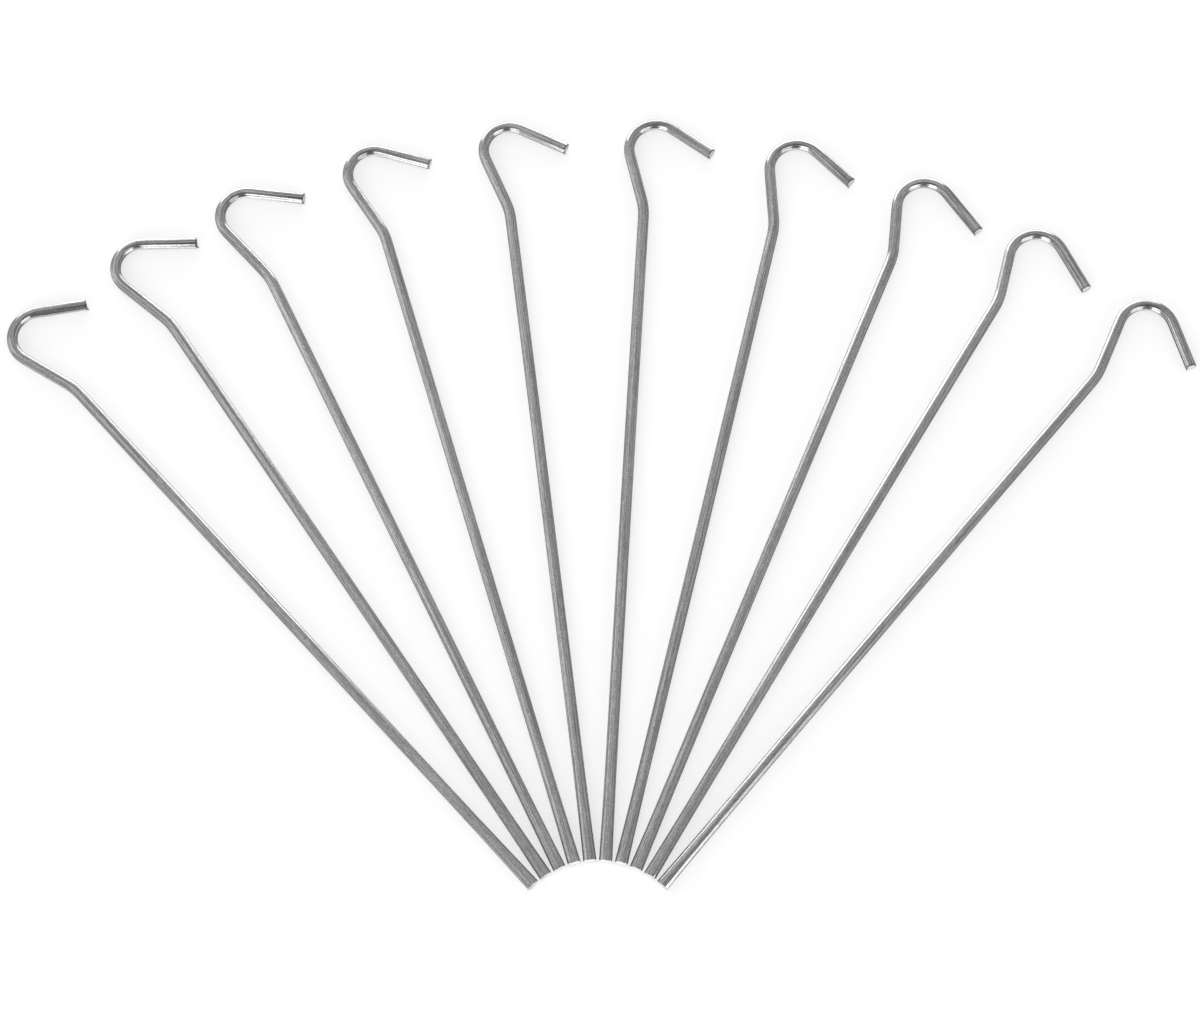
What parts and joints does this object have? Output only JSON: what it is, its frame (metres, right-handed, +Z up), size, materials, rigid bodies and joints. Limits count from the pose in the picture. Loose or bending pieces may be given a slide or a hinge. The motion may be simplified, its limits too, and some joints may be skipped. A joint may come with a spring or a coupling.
{
  "type": "tent stake set",
  "caption": "Set of loose wire tent stakes laid out in a fan, tips together. Each is one round steel wire with a straight shank, a kinked neck, an open hook and a slightly flattened tip.",
  "frame": {"origin": "centre of the fan's footprint, on the ground the stakes lie on", "axes": "+X to the right across the fan, +Y along the ground from the tips to the hooks, +Z up, away from the ground"},
  "size_m": [0.3484, 0.2374, 0.0032],
  "materials": {
    "galvanised_wire": "dull galvanised steel wire with fine lengthwise drawing lines"
  },
  "bodies": {
    "stake_01": {"stake_01": "galvanised_wire"},
    "stake_02": {"stake_02": "galvanised_wire"},
    "stake_03": {"stake_03": "galvanised_wire"},
    "stake_04": {"stake_04": "galvanised_wire"},
    "stake_05": {"stake_05": "galvanised_wire"},
    "stake_06": {"stake_06": "galvanised_wire"},
    "stake_07": {"stake_07": "galvanised_wire"},
    "stake_08": {"stake_08": "galvanised_wire"},
    "stake_09": {"stake_09": "galvanised_wire"},
    "stake_10": {"stake_10": "galvanised_wire"}
  },
  "joints": [
    {"name": "lift_01", "type": "slide", "parent": "stake_06", "child": "stake_01", "axis": [0, 0, 1], "range_m": [0, 0.05]},
    {"name": "lift_02", "type": "slide", "parent": "stake_06", "child": "stake_02", "axis": [0, 0, 1], "range_m": [0, 0.05]},
    {"name": "lift_03", "type": "slide", "parent": "stake_06", "child": "stake_03", "axis": [0, 0, 1], "range_m": [0, 0.05]},
    {"name": "lift_04", "type": "slide", "parent": "stake_06", "child": "stake_04", "axis": [0, 0, 1], "range_m": [0, 0.05]},
    {"name": "lift_05", "type": "slide", "parent": "stake_06", "child": "stake_05", "axis": [0, 0, 1], "range_m": [0, 0.05]},
    {"name": "lift_07", "type": "slide", "parent": "stake_06", "child": "stake_07", "axis": [0, 0, 1], "range_m": [0, 0.05]},
    {"name": "lift_08", "type": "slide", "parent": "stake_06", "child": "stake_08", "axis": [0, 0, 1], "range_m": [0, 0.05]},
    {"name": "lift_09", "type": "slide", "parent": "stake_06", "child": "stake_09", "axis": [0, 0, 1], "range_m": [0, 0.05]},
    {"name": "lift_10", "type": "slide", "parent": "stake_06", "child": "stake_10", "axis": [0, 0, 1], "range_m": [0, 0.05]}
  ]
}
